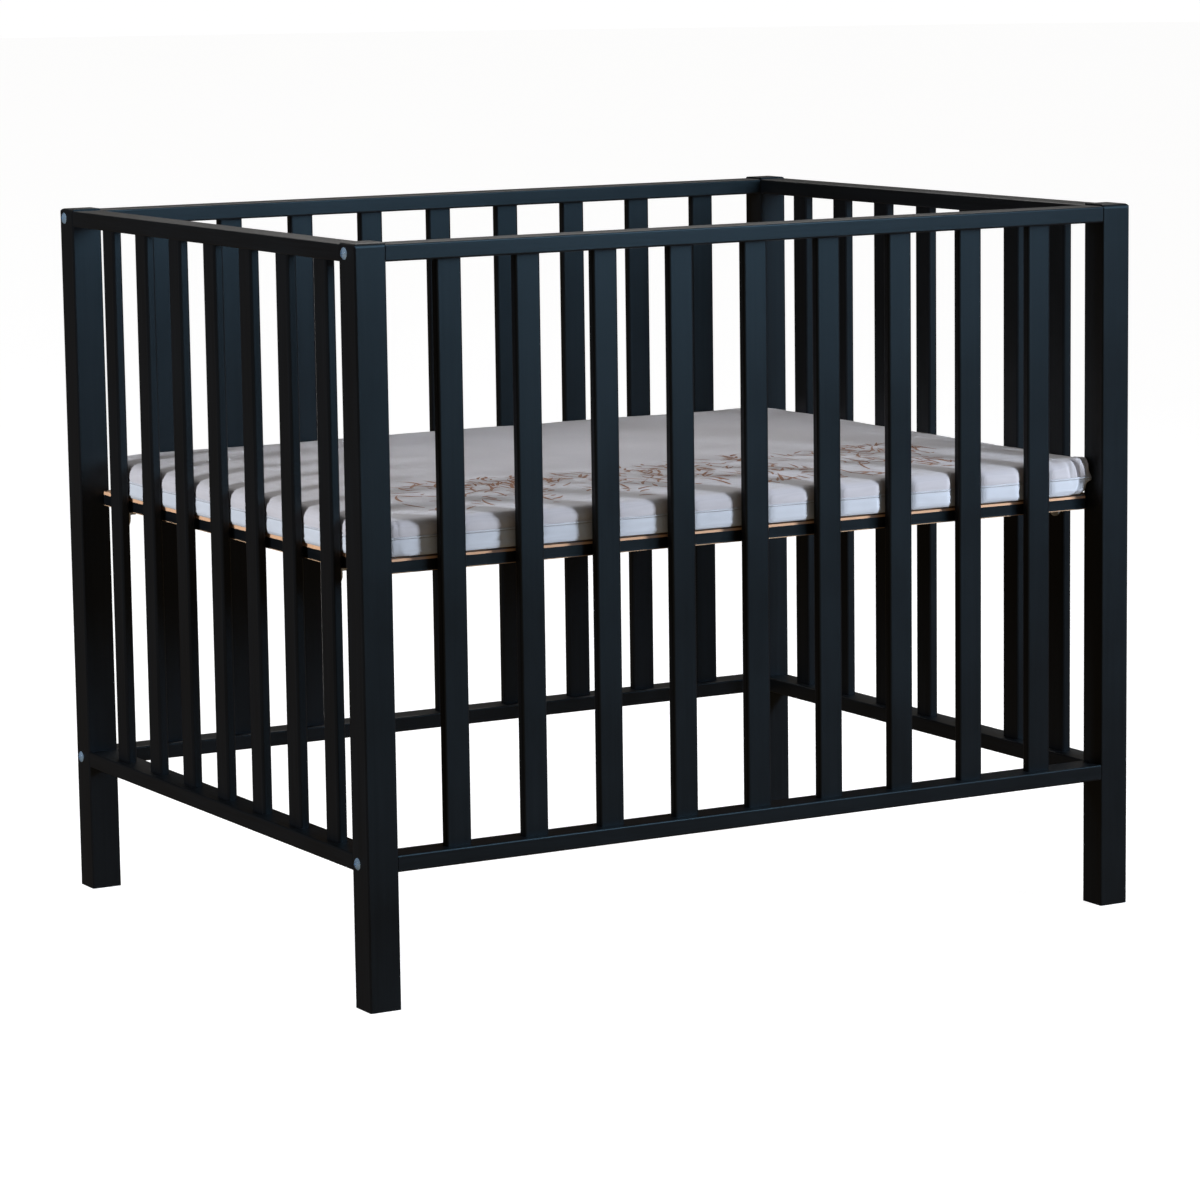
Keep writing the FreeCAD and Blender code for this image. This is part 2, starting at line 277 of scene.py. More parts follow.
def dark_edged_board(low):
    """The lower board: bare wood below, its edge near-black above a thin bare line at the bottom."""
    n = Nodes("lower_board")
    grain = n.noise(n.scaled((5, 95, 40)), detail=5.0, rough=0.6, distortion=0.8)
    bare = n.mix(n.spread(grain, 0.3, 0.72), *LOWER_BOARD)
    ragged = n.math("ADD", n.axis("Z"), n.math("MULTIPLY", grain, 0.0006))
    # Near-black above the lowest 1.1 mm of the board, bare wood below
    dark_above = n.math("GREATER_THAN", ragged, low + 1.1 * MM)
    color = n.mix(dark_above, bare, LOWER_BOARD_DARK)
    return n.finish(Base_Color=color, Roughness=n.spread(grain, 0.3, 0.7, 0.5, 0.66),
                    Normal=n.bump(grain, 0.15, 0.0004), Specular_IOR_Level=0.25)


def raw_wood(name, light, dark, axis):
    """Unfinished wood with its grain along an axis."""
    n = Nodes(name)
    grain = n.noise(n.scaled(along(axis, 130, 6)), detail=5.0, rough=0.6, distortion=0.6)
    fleck = n.noise(n.scaled(along(axis, 900, 90)), detail=2.0)
    color = n.mix(n.spread(grain, 0.3, 0.7), light, dark)
    color = n.mix(n.spread(fleck, 0.55, 0.75, 0.0, 0.4), color, tuple(c * 0.7 for c in dark))
    normal = n.bump(grain, 0.2, 0.0004)
    return n.finish(Base_Color=color, Roughness=n.spread(fleck, 0.3, 0.7, 0.55, 0.75), Normal=normal)


def plated(name, light, dark, rough_low, rough_high, metal=1.0):
    """Plated or turned metal with fine handling marks."""
    n = Nodes(name)
    cloud = n.noise(n.scaled((160, 160, 160)), detail=4.0)
    marks = n.noise(n.scaled((2600, 900, 900)), detail=2.0)
    color = n.mix(n.spread(cloud, 0.3, 0.7), light, dark)
    wear = n.math("ADD", cloud, n.math("MULTIPLY", marks, 0.5))
    rough = n.spread(wear, 0.5, 1.1, rough_low, rough_high)
    return n.finish(Base_Color=color, Metallic=metal, Roughness=rough, Normal=n.bump(marks, 0.12, 0.0001))


def weave(n, pitch):
    """Plain weave height, the same on top and sides: one wave along each axis."""
    waves = [n.math("SINE", n.math("MULTIPLY", n.axis(letter), 2 * math.pi / pitch)) for letter in "XYZ"]
    return n.math("ADD", n.math("ADD", waves[0], waves[1]), waves[2])


def cover_cloth():
    """Woven cover: a warm grey upper part and a cooler, paler lower part, which meet at the seam."""
    n = Nodes("cover_cloth")
    threads = weave(n, WEAVE_PITCH)
    cloud = n.noise(n.scaled((9, 9, 9)), detail=4.0)
    slub = n.noise(n.scaled((40, 900, 900)), detail=2.0)
    below = n.math("LESS_THAN", n.axis("Z"), SEAM_Z)
    upper = n.mix(n.spread(cloud, 0.3, 0.7), *COVER_UPPER)
    lower = n.mix(n.spread(cloud, 0.3, 0.7), *COVER_LOWER)
    color = n.mix(below, upper, lower)
    color = n.mix(n.spread(threads, -1.6, 1.6, 0.13, 0.0), color, THREAD_GAP)
    # Painted shadow: a thin dark line just under the seam, where the groove lies in shade
    from_seam = n.math("ABSOLUTE", n.math("SUBTRACT", n.axis("Z"), SEAM_Z - 0.9 * MM))
    color = n.mix(n.spread(from_seam, 0.25 * MM, 0.8 * MM, 0.65, 0.0), color, SEAM_GROOVE_PAINTED_SHADOW)
    normal = n.bump(threads, 0.30, 0.0002, n.bump(slub, 0.12, 0.0003))
    rough = n.spread(slub, 0.3, 0.7, 0.80, 0.92)
    return n.finish(Base_Color=color, Roughness=rough, Normal=normal, Sheen_Weight=0.12,
                    Sheen_Roughness=0.5, Specular_IOR_Level=0.3)


def piping_cloth():
    n = Nodes("piping_cloth")
    threads = weave(n, PIPING_PITCH)
    color = n.mix(n.spread(threads, -1.6, 1.6), *PIPING)
    return n.finish(Base_Color=color, Roughness=0.85, Normal=n.bump(threads, 0.4, 0.0002))


def print_ink():
    """Uneven brown textile ink, through which the weave shows."""
    n = Nodes("print_ink")
    threads = weave(n, WEAVE_PITCH)
    cloud = n.noise(n.scaled((70, 70, 70)), detail=4.0, rough=0.7)
    color = n.mix(n.spread(cloud, 0.32, 0.66), *INK)
    color = n.mix(n.spread(threads, -1.2, 1.6, 0.25, 0.0), color, INK_WEAVE)
    return n.finish(Base_Color=color, Roughness=0.88, Normal=n.bump(threads, 0.3, 0.0002))


def floor_paint():
    """Pale studio floor that glows enough to read as white."""
    n = Nodes("studio_floor")
    cloud = n.noise(n.scaled((1.2, 1.2, 1.2)), detail=4.0)
    color = n.mix(n.spread(cloud, 0.3, 0.7), (0.29, 0.29, 0.29), (0.31, 0.31, 0.31))
    return n.finish(Base_Color=color, Roughness=n.spread(cloud, 0.3, 0.7, 0.75, 0.9),
                    Specular_IOR_Level=0.1, Emission_Color=(1.0, 1.0, 1.0), Emission_Strength=FLOOR_GLOW)


def backdrop_paint():
    n = Nodes("studio_backdrop")
    return n.finish(Base_Color=(0.0, 0.0, 0.0), Roughness=1.0, Emission_Color=(1.0, 1.0, 1.0),
                    Emission_Strength=1.0)


# ---------------------------------------------------------------- CAD nodes

def dress(node, material):
    """Gives a CAD node its material."""
    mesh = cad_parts[node].data
    mesh.materials.clear()
    mesh.materials.append(material)


def dress_frame():
    """Black lacquer on every CAD piece, with its grain along the piece, apart from the few listed."""
    lacquer = {axis: black_lacquer(axis) for axis in "XYZ"}
    top_low, top_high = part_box("base_top_board")
    low_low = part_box("base_bottom_board")[0]
    special = {
        "base_top_board": plywood("birch_board", *BIRCH, top_low, top_high),
        "base_bottom_board": dark_edged_board(low_low.z),
        "base_battens": raw_wood("raw_pine", *PINE, "Y"),
        "locating_dowels": raw_wood("beech_dowel_x", *BEECH, "X"),
        "end_rail_dowels": raw_wood("beech_dowel_y", *BEECH, "Y"),
        # Bolt heads: zinc with a painted bluish reflection in its colour
        "frame_bolts": plated("zinc_plate_and_painted_sheen", *ZINC_BOLT_AND_SHEEN, 0.20, 0.34, 0.75),
        "support_screws": plated("zinc_screw", *ZINC_SCREW, 0.22, 0.40, 0.6),
        "support_brackets": plated("zinc_bracket", *ZINC_BRACKET, 0.26, 0.42, 0.6),
        "threaded_inserts": plated("turned_brass", *BRASS, 0.25, 0.42),
    }
    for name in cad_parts:
        if name == "mattress":
            continue
        if name in special:
            dress(name, special[name])
            continue
        low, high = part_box(name)
        size = [high[i] - low[i] for i in range(3)]
        dress(name, lacquer["XYZ"[size.index(max(size))]])


# ---------------------------------------------------------------- mattress

def new_piece(name, mesh):
    piece = bpy.data.objects.new(name, mesh)
    bpy.context.scene.collection.objects.link(piece)
    return piece


def shade_smooth(piece):
    for face in piece.data.polygons:
        face.use_smooth = True


def rounded_pad():
    """Plain pad before it swells: a box with rounded corners and rims."""
    low = PAD_LOW + Vector((1, 1, 0)) * START_SMALLER
    high = PAD_HIGH - Vector((1, 1, 1)) * START_SMALLER
    bm = bmesh.new()
    bmesh.ops.create_cube(bm, size=1.0)
    for v in bm.verts:
        v.co = Vector([(low[i] + high[i]) / 2 + v.co[i] * (high[i] - low[i]) for i in range(3)])
    upright = [e for e in bm.edges if abs(e.verts[0].co.z - e.verts[1].co.z) > 1 * MM]
    loose = [e for e in upright if e.verts[0].co.x < 0 < e.verts[0].co.y]
    bmesh.ops.bevel(bm, geom=loose, offset=LOOSE_CORNER, segments=10, profile=0.5, affect="EDGES")
    upright = [e for e in upright if e.is_valid]
    bmesh.ops.bevel(bm, geom=upright, offset=PAD_CORNER, segments=10, profile=0.5, affect="EDGES")
    for height, radius in ((high.z, TOP_RIM), (low.z, LOW_RIM)):
        rim = [e for e in bm.edges if all(abs(v.co.z - height) < 0.1 * MM for v in e.verts)]
        bmesh.ops.bevel(bm, geom=rim, offset=radius, segments=4, profile=0.5, affect="EDGES")
    mesh = bpy.data.meshes.new("mattress_cover")
    bm.to_mesh(mesh)
    bm.free()
    return new_piece("mattress_cover", mesh)


def active(piece):
    bpy.ops.object.select_all(action="DESELECT")
    piece.select_set(True)
    bpy.context.view_layer.objects.active = piece


def points_of(piece):
    flat = np.empty(len(piece.data.vertices) * 3)
    piece.data.vertices.foreach_get("co", flat)
    return flat.reshape(-1, 3)


def put_points(piece, points):
    piece.data.vertices.foreach_set("co", np.ascontiguousarray(points, float).ravel())
    piece.data.update()


def slat_positions(prefix, axis):
    """Centres of a row of slats along an axis."""
    found = []
    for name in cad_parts:
        if name.startswith(prefix):
            low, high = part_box(name)
            found.append((low[axis] + high[axis]) / 2)
    return np.array(sorted(found))


def openness(where, centres, half):
    """0 behind a slat, rising quickly beside it to 1 over most of the gap."""
    near = np.min(np.abs(where[:, None] - centres[None, :]), axis=1)
    return 1 - (1 - np.clip((near - half - 0.8 * MM) / LOBE_EDGE, 0, 1)) ** 2


SIDE_SLATS = slat_positions("front_slat_", 0)
END_SLATS = slat_positions("left_slat_", 1)


def swell(piece):
    """Inflates the pad with cloth pressure. The underside and the strips behind the slats are held."""
    start = points_of(piece)
    group = piece.vertex_groups.new(name="held")
    side = np.abs(start[:, 1]) > PAD_HALF.y - 8 * MM
    end = np.abs(start[:, 0]) > PAD_HALF.x - 8 * MM
    open_side = openness(start[:, 0], SIDE_SLATS, SLAT_HALF)
    open_end = openness(start[:, 1], END_SLATS, SLAT_HALF)
    under = start[:, 2] < PAD_LOW.z + 2 * MM
    held = under | (side & (open_side == 0)) | (end & (open_end == 0))
    group.add([int(i) for i in np.nonzero(held)[0]], 1.0, "REPLACE")
    cloth = piece.modifiers.new("swell", "CLOTH")
    settings = cloth.settings
    settings.quality = 5
    settings.mass = 0.25
    settings.tension_stiffness = 14
    settings.compression_stiffness = 14
    settings.shear_stiffness = 6
    settings.bending_stiffness = 1.2
    settings.vertex_group_mass = "held"
    settings.use_pressure = True
    settings.uniform_pressure_force = CLOTH_PRESSURE
    settings.effector_weights.gravity = 0.0
    cloth.point_cache.frame_start = 1
    cloth.point_cache.frame_end = CLOTH_FRAMES
    scene = bpy.context.scene
    for number in range(1, CLOTH_FRAMES + 1):
        scene.frame_set(number)
    active(piece)
    bpy.ops.object.modifier_apply(modifier="swell")
    scene.frame_set(1)
    moved = points_of(piece) - start
    cap = np.full(len(start), TOP_CAP)
    cap[side | end] = SIDE_CAP
    length = np.maximum(np.linalg.norm(moved, axis=1), 1e-9)
    piece.vertex_groups.clear()
    put_points(piece, start + moved * np.minimum(1.0, cap / length)[:, None])


def ripple(x, y, length, seed, count=9):
    """Smooth random height from a few waves of about one wavelength."""
    rng = np.random.default_rng(seed)
    total = np.zeros(len(x))
    for _ in range(count):
        heading = rng.uniform(0, 2 * math.pi)
        k = 2 * math.pi / (length * rng.uniform(0.7, 1.5))
        across = x * math.cos(heading) + y * math.sin(heading)
        total += np.sin(k * across + rng.uniform(0, 2 * math.pi))
    return total / math.sqrt(count)


def ramp(value):
    """A share, kept between 0 and 1."""
    return np.clip(value, 0, 1)


def bell(value, centre, width):
    return np.exp(-((value - centre) / width) ** 2)


def lobes(points):
    """How far the cover may stand out at each point in y and in x: flat behind the slats, full between them.
    It leans on the front slats towards the right, and on both ends."""
    x, y = points[:, 0], points[:, 1]
    lean = np.clip((x + 0.20) / 0.45, 0, 1)
    swell_y = np.where(y < 0, 1.2 * MM + 5.3 * MM * lean, 2.5 * MM)
    swell_x = np.where(x < 0, 6.5 * MM, 4.0 * MM)
    swell_x = np.where(y > END_SLATS[-1], 0.0, swell_x)
    return swell_y * openness(x, SIDE_SLATS, SLAT_HALF), swell_x * openness(y, END_SLATS, SLAT_HALF)


def inside_frame(points):
    """Keeps the cover off the base, the slats and the posts."""
    x, y = points[:, 0], points[:, 1]
    points[:, 2] = np.maximum(points[:, 2], BASE_TOP + BASE_CLEARANCE)
    swell_y, swell_x = lobes(points)
    reach_y = SLAT_FACE_Y - SLAT_CLEARANCE + swell_y
    reach_x = SLAT_FACE_X - SLAT_CLEARANCE + swell_x
    points[:, 1] = np.clip(y, -reach_y, reach_y)
    points[:, 0] = np.clip(x, -reach_x, reach_x)
    # The posts' inner corners press into the pad's corners
    over_x = np.abs(points[:, 0]) - (POST_FACE_X - POST_CLEARANCE)
    over_y = np.abs(points[:, 1]) - (POST_FACE_Y - POST_CLEARANCE)
    inside = (over_x > 0) & (over_y > 0)
    by_x = inside & (over_x <= over_y)
    by_y = inside & (over_x > over_y)
    points[by_x, 0] -= np.sign(points[by_x, 0]) * over_x[by_x]
    points[by_y, 1] -= np.sign(points[by_y, 1]) * over_y[by_y]
    return points


def corner_gathers(x, y, z):
    """Height of the creases that fan round each corner."""
    height = np.zeros(len(x))
    for sx in (-1, 1):
        for sy in (-1, 1):
            dx = (x - sx * (PAD_HALF.x - PAD_CORNER)) * sx
            dy = (y - sy * (PAD_HALF.y - PAD_CORNER)) * sy
            angle = np.arctan2(dy, dx)
            corner = ramp(np.minimum(dx, dy) / (12 * MM) + 1)
            fan = ramp((np.hypot(dx, dy) - 18 * MM) / (20 * MM))
            folds = np.cos(angle * 19 + sx * 1.3 + sy * 0.7) + 0.5 * np.cos(angle * 31 + sy * 2.0)
            above = ramp((z - SEAM_Z) / (10 * MM)) * 0.8 + 0.2
            height += 0.9 * MM * folds * corner * fan * above
    return height


def surface_relief(x, y, z, facing_up):
    """Seam valley, slack in the top, and gathers at the corners."""
    wall = 1 - ramp(np.abs(facing_up) * 1.6 - 0.3)
    top = ramp(facing_up * 2 - 1)
    relief = -1.1 * MM * bell(z, SEAM_Z, 2.4 * MM) * wall
    relief += 0.40 * MM * ripple(x, y, 210 * MM, 3) * top
    relief += 0.05 * MM * ripple(x * 0.5, y, 46 * MM, 4) * top
    relief += 0.22 * MM * ripple(x + y, z * 2, 40 * MM, 5) * wall
    # Slack ridges just inside the top rim
    rim = np.minimum(PAD_HALF.x - np.abs(x), PAD_HALF.y - np.abs(y))
    relief += 0.5 * MM * bell(rim, 22 * MM, 10 * MM) * top * (1 + 0.5 * ripple(x, y, 110 * MM, 6))
    return relief + corner_gathers(x, y, z)


def tailor(piece):
    """The cover's relief, its low edge and its lobes, after the pad has swelled."""
    p = points_of(piece)
    normals = np.empty(len(p) * 3)
    piece.data.vertices.foreach_get("normal", normals)
    normals = normals.reshape(-1, 3)
    x, y, z = p[:, 0].copy(), p[:, 1].copy(), p[:, 2].copy()
    p += normals * surface_relief(x, y, z, normals[:, 2])[:, None]
    swell_y, swell_x = lobes(p)
    # The low edge is filled out to the pad's size, and its foot drawn down
    low_edge = ramp((9 * MM - (z - PAD_LOW.z)) / (4 * MM))
    for axis, other in ((0, 1), (1, 0)):
        size, side = np.abs(p[:, axis]), np.sign(p[:, axis])
        gap = np.clip(PAD_HALF[axis] - size, 0, 9 * MM)
        run = ramp((PAD_HALF[other] - PAD_CORNER - np.abs(p[:, other])) / (25 * MM))
        near = ramp(1 - gap / (9 * MM)) * run
        p[:, axis] += side * gap * low_edge * np.minimum(1, near * 2.5)
    foot = ramp((5 * MM - (z - PAD_LOW.z)) / (5 * MM))
    p[:, 2] -= np.clip(z - PAD_LOW.z, 0, 4 * MM) * 0.6 * foot
    # Lobes between the slats, fullest half way up the side
    rise = np.clip((z - PAD_LOW.z) / (6 * MM), 0.2, 1)
    full = rise * ramp((PAD_HIGH.z + 3 * MM - z) / (12 * MM)) ** 0.6
    near_y = ramp((np.abs(y) - (PAD_HALF.y - 22 * MM)) / (16 * MM))
    near_x = ramp((np.abs(x) - (PAD_HALF.x - 22 * MM)) / (16 * MM))
    p[:, 1] += np.sign(y) * (swell_y + 0.6 * MM) * full * near_y
    p[:, 0] += np.sign(x) * (swell_x + 0.6 * MM) * full * near_x
    return p


def stand_upright(points):
    """Keeps the foot of each side under the side above it, and its bottom edge just clear of the base."""
    x, y, z = points[:, 0], points[:, 1], points[:, 2]
    swell_y, swell_x = lobes(points)
    rise = ramp((z - PAD_LOW.z) / (7 * MM))
    low = z < SEAM_Z - 5 * MM
    reach_y = PAD_HALF.y - 1.5 * MM + rise * MM + swell_y * (0.6 + 0.35 * rise)
    reach_x = PAD_HALF.x - 1.5 * MM + rise * MM + swell_x * (0.6 + 0.35 * rise)
    points[low, 1] = np.clip(y, -reach_y, reach_y)[low]
    points[low, 0] = np.clip(x, -reach_x, reach_x)[low]
    rim = np.minimum(PAD_HALF.x - np.abs(points[:, 0]), PAD_HALF.y - np.abs(points[:, 1]))
    lift = 1.2 * MM * ramp(1 - (rim - 2 * MM) / (7 * MM)) ** 0.6
    points[:, 2] = np.maximum(points[:, 2], BASE_TOP + BASE_CLEARANCE + lift)
    return points


def front_right_corner(p):
    """The loose corner: its rim stands up, creases run down from it, and the seam pokes out in an ear."""
    x, y, z = p[:, 0].copy(), p[:, 1].copy(), p[:, 2].copy()
    front = ramp((-y - (PAD_HALF.y - 24 * MM)) / (16 * MM))
    raised = ramp((x - 404 * MM) / (30 * MM)) * ramp((z - SEAM_Z - 4 * MM) / (14 * MM)) * front
    p[:, 2] += 4.6 * MM * raised
    p[:, 1] -= 2.6 * MM * raised
    bulge = bell(z, SEAM_Z + 12 * MM, 12 * MM) * ramp((x - 436 * MM) / (8 * MM)) * front
    p[:, 0] += 3.0 * MM * bulge
    for start, lean, depth, wide in CREASES:
        line = start * MM + lean * (PAD_HIGH.z - z)
        shape = bell(x, line, wide * MM) * ramp((z - SEAM_Z + 6 * MM) / (10 * MM))
        p[:, 1] += depth * MM * shape * front
    # Below the seam, a tuck, and past it the side turns away
    tuck = bell(x - 0.55 * (z - PAD_LOW.z), 426 * MM, 3.2 * MM) * ramp((SEAM_Z - z) / (5 * MM))
    p[:, 1] += 3.6 * MM * tuck * front
    turned = ramp((x - 438 * MM - 0.3 * (z - PAD_LOW.z)) / (2.5 * MM))
    p[:, 1] += 4.2 * MM * turned * ramp((SEAM_Z - 2 * MM - z) / (4 * MM)) * front
    ear = bell(x, 446 * MM, 6.0 * MM) * bell(z, SEAM_Z - 1 * MM, 5.5 * MM)
    p[:, 1] -= 8.5 * MM * ear * front
    return p


def refine_corner(piece):
    """Splits the faces at the loose corner so that they can hold narrow creases."""
    bm = bmesh.new()
    bm.from_mesh(piece.data)
    edges = [e for e in bm.edges if all(v.co.x > 402 * MM and v.co.y < -322 * MM for v in e.verts)]
    cuts = 2
    bmesh.ops.subdivide_edges(bm, edges=edges, cuts=cuts, use_grid_fill=True, smooth=0.0)
    bmesh.ops.triangulate(bm, faces=[f for f in bm.faces if len(f.verts) > 4])
    bm.to_mesh(piece.data)
    bm.free()
    piece.data.update()


def build_mattress():
    """The padded cover, from a plain pad to its finished mesh."""
    piece = rounded_pad()
    active(piece)
    piece.data.remesh_voxel_size = VOXEL
    bpy.ops.object.voxel_remesh()
    swell(piece)
    finer = piece.modifiers.new("finer", "SUBSURF")
    finer.levels = 1
    finer.render_levels = 1
    bpy.ops.object.modifier_apply(modifier="finer")
    refine_corner(piece)
    points = stand_upright(inside_frame(tailor(piece)))
    points = front_right_corner(points)
    beside_post = points[:, 1] < -POST_FACE_Y + POST_CLEARANCE
    points[beside_post, 0] = np.minimum(points[beside_post, 0], POST_FACE_X - 0.5 * MM)
    points[:, 2] = np.maximum(points[:, 2], BASE_TOP + BASE_CLEARANCE)
    put_points(piece, points)
    piece.data.materials.clear()
    piece.data.materials.append(cover_cloth())
    shade_smooth(piece)
    return piece


def surface_of(piece):
    return BVHTree.FromObject(piece, bpy.context.evaluated_depsgraph_get())


def seam_route(tree, steps=900):
    """Points round the cover at the seam, found by looking in from outside."""
    route = []
    inner = PAD_HALF - Vector((PAD_CORNER, PAD_CORNER))
    arc = math.pi / 2 * PAD_CORNER
    corners = ((1, -1), (1, 1), (-1, 1), (-1, -1))
    whole = 4 * (inner.x + inner.y) + 4 * arc
    for i in range(steps):
        s = whole * i / steps
        for number, sign in enumerate(corners):
            heading = number * math.pi / 2
            length = 2 * (inner.x if number in (1, 3) else inner.y)
            if s < length:
                run = Vector((math.cos(heading + math.pi / 2), math.sin(heading + math.pi / 2)))
                centre = Vector((sign[0] * inner.x, sign[1] * inner.y)) + run * s
                break
            s -= length
            if s < arc:
                following = corners[(number + 1) % 4]
                centre = Vector((following[0] * inner.x, following[1] * inner.y))
                heading += s / PAD_CORNER
                break
            s -= arc
        out = Vector((math.cos(heading), math.sin(heading), 0))
        origin = Vector((centre.x, centre.y, SEAM_Z)) + out * 0.12
        hit = tree.ray_cast(origin, -out)[0]
        route.append(hit + out * PIPING_LIFT)
    return route


def tube(name, route, radius, sides=8):
    """Closed tube along a loop of points."""
    count = len(route)
    verts, faces = [], []
    for i, point in enumerate(route):
        run = (route[(i + 1) % count] - route[i - 1]).normalized()
        across = run.cross(Vector((0, 0, 1))).normalized()
        up = across.cross(run)
        for k in range(sides):
            a = 2 * math.pi * k / sides
            verts.append(point + (across * math.cos(a) + up * math.sin(a)) * radius)
    for i in range(count):
        for k in range(sides):
            a, b = i * sides + k, i * sides + (k + 1) % sides
            c, d = ((i + 1) % count) * sides + (k + 1) % sides, ((i + 1) % count) * sides + k
            faces.append((a, b, c, d))
    mesh = bpy.data.meshes.new(name)
    mesh.from_pydata(verts, [], faces)
    mesh.update()
    piece = new_piece(name, mesh)
    shade_smooth(piece)
    return piece


# ---------------------------------------------------------------- print on the cover

def stroke(start, heading, length, bend, steps=9):
    """A slightly bent line on the plane."""
    points, place = [Vector(start)], Vector(start)
    for _ in range(steps):
        heading += bend / steps
        place = place + Vector((math.cos(heading), math.sin(heading))) * length / steps
        points.append(place.copy())
    return points


def tuft(start):
    """A few separate blades that fan out from about one place, most of them away from the front edge."""
    made = []
    for _ in range(RNG.randint(2, 4)):
        place = Vector(start) + Vector((RNG.gauss(0, 15), RNG.gauss(0, 20))) * MM
        if RNG.random() < 0.82:
            heading = RNG.gauss(math.pi / 2, 0.65)
        else:
            heading = RNG.choice((0.12, math.pi - 0.12))
        length = RNG.uniform(12, 46) * MM * (0.45 + 0.55 * abs(math.sin(heading)))
        made.append((stroke(place, heading, length, RNG.uniform(-1.1, 1.1)), RNG.uniform(2.4, 4.2) * MM))
    return made


def ribbon(verts, faces, line, width, tree):
    """Lays a tapered line on the cover."""
    base = len(verts)
    last = len(line) - 1
    for i, point in enumerate(line):
        run = (line[min(i + 1, last)] - line[max(i - 1, 0)]).normalized()
        across = Vector((-run.y, run.x))
        share = i / last
        half = width / 2 * (0.25 + 0.75 * math.sin(math.pi * min(1.0, 0.15 + share * 0.95)))
        for side in (-1, 1):
            at = point + across * half * side
            hit, normal, _, _ = tree.ray_cast(Vector((at.x, at.y, PAD_HIGH.z + 0.1)), Vector((0, 0, -1)))
            verts.append(hit + normal * PRINT_LIFT)
    for i in range(last):
        a = base + 2 * i
        faces.append((a, a + 2, a + 3, a + 1))


def build_print(tree):
    """Scattered tufts of dry grass, drawn in brown along the front half of the cover."""
    verts, faces = [], []
    for _ in range(TUFTS):
        x, y = RNG.uniform(*PRINT_X), RNG.uniform(PRINT_Y[0], PRINT_Y[1] - 25 * MM)
        for line, width in tuft((x, y)):
            along_x = all(PRINT_X[0] - 0.01 < q.x < PRINT_X[1] + 0.01 for q in line)
            along_y = all(PRINT_Y[0] < q.y < PRINT_Y[1] for q in line)
            if along_x and along_y:
                ribbon(verts, faces, line, width, tree)
    mesh = bpy.data.meshes.new("mattress_print")
    mesh.from_pydata(verts, [], faces)
    mesh.update()
    piece = new_piece("mattress_print", mesh)
    piece.data.materials.append(print_ink())
    shade_smooth(piece)
    return piece


# ---------------------------------------------------------------- studio

def only_for_camera(piece):
    """Leaves the studio out of the object's lighting, which comes from the world and the lights."""
    piece.visible_diffuse = False
    piece.visible_glossy = False
    piece.visible_transmission = False
    piece.visible_shadow = False


def build_studio():
    """A wide floor and a white dome round it."""
    mesh = bpy.data.meshes.new("studio_floor")
    corners = [(x * FLOOR_HALF, y * FLOOR_HALF, 0) for x, y in ((-1, -1), (1, -1), (1, 1), (-1, 1))]
    mesh.from_pydata(corners, [], [(0, 1, 2, 3)])
    mesh.materials.append(floor_paint())
    only_for_camera(new_piece("studio_floor", mesh))
    bm = bmesh.new()
    bmesh.ops.create_icosphere(bm, subdivisions=4, radius=FLOOR_HALF)
    mesh = bpy.data.meshes.new("studio_backdrop")
    bm.to_mesh(mesh)
    bm.free()
    mesh.materials.append(backdrop_paint())
    only_for_camera(new_piece("studio_backdrop", mesh))


def area_light(name, at, aim, size, power, color, even=False):
    """An area light; an even one lights near and far alike."""
    data = bpy.data.lights.new(name, "AREA")
    data.shape = "RECTANGLE"
    data.size, data.size_y = size
    data.energy = power
    data.color = color
    light = bpy.data.objects.new(name, data)
    bpy.context.scene.collection.objects.link(light)
    light.location = at
    light.rotation_euler = (Vector(aim) - Vector(at)).to_track_quat("-Z", "Y").to_euler()
    light.visible_camera = False
    if even:
        data.use_nodes = True
        tree = data.node_tree
        glow = next(node for node in tree.nodes if node.type == "EMISSION")
        falloff = tree.nodes.new("ShaderNodeLightFalloff")
        falloff.inputs["Strength"].default_value = 1.0
        tree.links.new(falloff.outputs["Constant"], glow.inputs["Strength"])
    return light


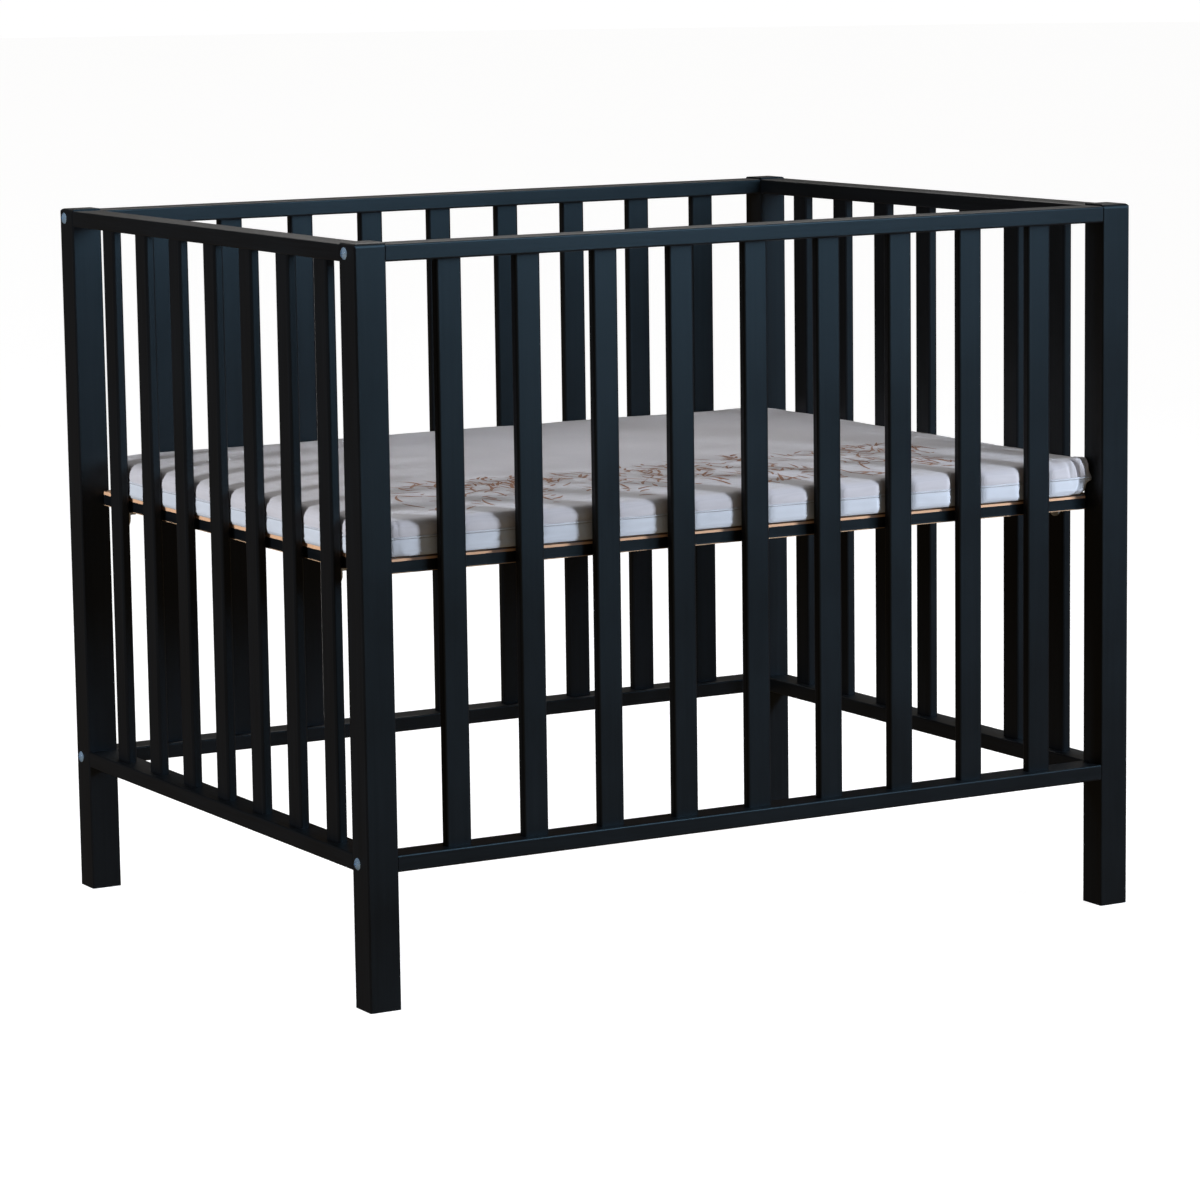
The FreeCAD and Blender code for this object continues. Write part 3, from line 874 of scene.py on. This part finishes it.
def build_world():
    """A dim world, warm below and dimmer behind, so that the lights model the shapes."""
    world = bpy.data.worlds.new("studio")
    world.use_nodes = True
    tree = world.node_tree
    back = next(n for n in tree.nodes if n.type == "BACKGROUND")
    coord = tree.nodes.new("ShaderNodeTexCoord")
    split = tree.nodes.new("ShaderNodeSeparateXYZ")
    shade = tree.nodes.new("ShaderNodeValToRGB")
    height = tree.nodes.new("ShaderNodeMapRange")
    height.inputs["From Min"].default_value = -1.0
    tree.links.new(coord.outputs["Generated"], split.inputs[0])
    tree.links.new(split.outputs["Z"], height.inputs["Value"])
    tree.links.new(height.outputs["Result"], shade.inputs["Fac"])
    tree.links.new(shade.outputs["Color"], back.inputs["Color"])
    while len(shade.color_ramp.elements) < len(WORLD_STOPS):
        shade.color_ramp.elements.new(0.5)
    for element, (place, color) in zip(shade.color_ramp.elements, WORLD_STOPS):
        element.position = place
        element.color = (*color, 1.0)
    behind = tree.nodes.new("ShaderNodeMapRange")
    behind.inputs["From Min"].default_value = -0.2
    behind.inputs["From Max"].default_value = 0.7
    behind.inputs["To Min"].default_value = 1.0
    behind.inputs["To Max"].default_value = WORLD_BEHIND
    tree.links.new(split.outputs["Y"], behind.inputs["Value"])
    tree.links.new(behind.outputs["Result"], back.inputs["Strength"])
    bpy.context.scene.world = world


def build_light():
    """A low key from the front right, an overhead, a fill from the left, and a sheen that only shines."""
    build_world()
    key = area_light("key", (0.92, -1.12, 0.66), (0.0, -0.3, 0.49), (0.20, 0.16), 19.0,
                     (0.79, 0.87, 1.0), even=True)
    key.visible_glossy = False
    area_light("overhead", (0.8, 1.4, 2.7), (0, 0, 0.5), (2.4, 1.4), 46, (1.0, 0.985, 0.97))
    left = area_light("left_fill", (-3.0, -0.05, 0.98), (-0.3, 0, 0.5), (0.6, 0.5), 92, (0.88, 0.925, 1.0))
    left.visible_glossy = False
    sheen = area_light("sheen", (1.05, -2.3, 1.75), (0.1, 0, 0.9), (1.2, 1.7), 102, (0.36, 0.69, 1.0))
    sheen.visible_diffuse = False


def build_camera():
    """Camera at the photograph's place, in front and to the left, without lens shift."""
    data = bpy.data.cameras.new("camera")
    data.sensor_width = CAMERA_SENSOR
    data.lens = CAMERA_LENS
    data.clip_end = 60
    camera = bpy.data.objects.new("camera", data)
    bpy.context.scene.collection.objects.link(camera)
    camera.location = CAMERA_PLACE
    camera.rotation_mode = "XYZ"
    level = math.cos(CAMERA_DOWN)
    forward = Vector((math.sin(CAMERA_HEADING) * level, math.cos(CAMERA_HEADING) * level,
                      -math.sin(CAMERA_DOWN)))
    turn = forward.to_track_quat("-Z", "Y").to_matrix().to_4x4()
    camera.rotation_euler = (turn @ Matrix.Rotation(CAMERA_ROLL, 4, "Z")).to_euler()
    bpy.context.scene.camera = camera


# ---------------------------------------------------------------- build

dress_frame()
cover = build_mattress()
cover_surface = surface_of(cover)
piping = tube("mattress_piping", seam_route(cover_surface), PIPING_RADIUS)
piping.data.materials.append(piping_cloth())
print_piece = build_print(cover_surface)

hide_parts("mattress")
for piece in (cover, piping, print_piece):
    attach(piece, "mattress")

build_studio()
build_light()
build_camera()
bpy.context.scene.view_settings.view_transform = "Standard"
